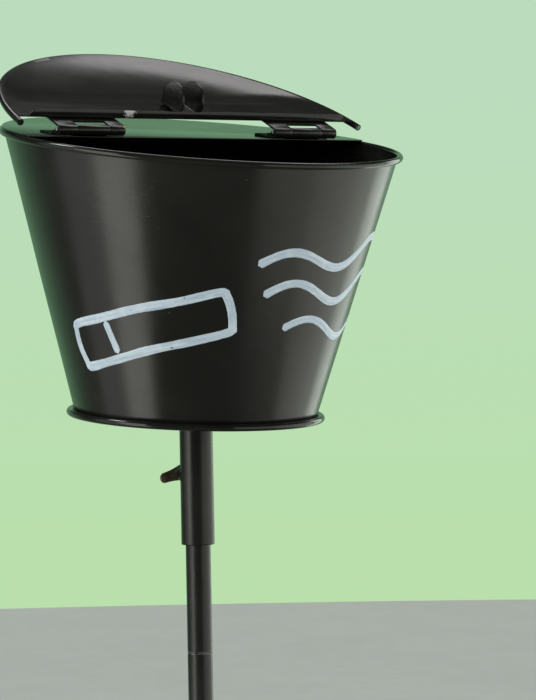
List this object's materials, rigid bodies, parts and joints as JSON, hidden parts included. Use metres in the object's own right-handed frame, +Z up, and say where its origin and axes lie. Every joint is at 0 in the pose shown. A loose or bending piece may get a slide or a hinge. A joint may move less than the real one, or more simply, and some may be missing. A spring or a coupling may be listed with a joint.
{
  "type": "ashtray bin",
  "caption": "Outdoor ashtray bin: tapered steel bucket with a slanted mouth, half cover plate and hinged half lid, clamped on a thin pole with a round foot plate.",
  "frame": {"origin": "on the floor, under the pole's axis", "axes": "+Z up along the pole, -Y to the front where the mouth is open, +X along the hinge axis"},
  "size_m": [0.3, 0.3, 1.0629],
  "materials": {
    "bucket_enamel": "satin gloss black enamel",
    "hinge_enamel": "brushed-on black enamel",
    "pole_paint": "lightly grained black paint",
    "bare_steel": "drawn wire",
    "dark_fasteners": "blackened steel",
    "rubber": "matte",
    "white_marking": "hand brushed white paint"
  },
  "bodies": {
    "stand": {"base_plate": "pole_paint", "rubber_feet": "rubber", "base_collar": "pole_paint", "collar_screws": "dark_fasteners", "collar_set_screw": "dark_fasteners", "lower_pole": "pole_paint", "pole_spigot": "bare_steel"},
    "upper_pole": {"upper_pole": "pole_paint"},
    "bucket": {"bucket_wall": "bucket_enamel", "rim_wire": "bare_steel", "bucket_bottom": "bucket_enamel", "foot_wire": "bare_steel", "cover_plate": "bucket_enamel", "hinge_leaf_cover_left": "hinge_enamel", "hinge_leaf_cover_right": "hinge_enamel", "hinge_pin_left": "bare_steel", "hinge_pin_right": "bare_steel", "hinge_rivets_cover": "hinge_enamel", "socket_flange": "bucket_enamel", "flange_rivets": "hinge_enamel", "socket_sleeve": "bucket_enamel", "clamp_boss": "bucket_enamel"},
    "lid": {"lid_panel": "bucket_enamel", "lid_wire": "bare_steel", "hinge_leaf_lid_left": "hinge_enamel", "hinge_leaf_lid_right": "hinge_enamel", "hinge_rivets_lid": "hinge_enamel", "rest_bracket": "bucket_enamel", "bracket_rivets": "hinge_enamel"},
    "wing_screw": {"wing_screw": "dark_fasteners"}
  },
  "joints": [
    {"name": "pole_turn", "type": "hinge", "parent": "stand", "child": "upper_pole", "pos_m": [0, 0, 0.672], "axis": [0, 0, 1], "continuous": true},
    {"name": "bucket_lift", "type": "slide", "parent": "upper_pole", "child": "bucket", "axis": [0, 0, 1], "range_m": [0, 0.075]},
    {"name": "lid_hinge", "type": "hinge", "parent": "bucket", "child": "lid", "pos_m": [0, -0.01003, 1.00539], "axis": [1, 0, 0], "range_deg": [-12, 164.9]},
    {"name": "clamp_turn", "type": "hinge", "parent": "bucket", "child": "wing_screw", "pos_m": [0, 0.0183, 0.787], "axis": [0, 1, 0], "range_deg": [0, 720]}
  ]
}
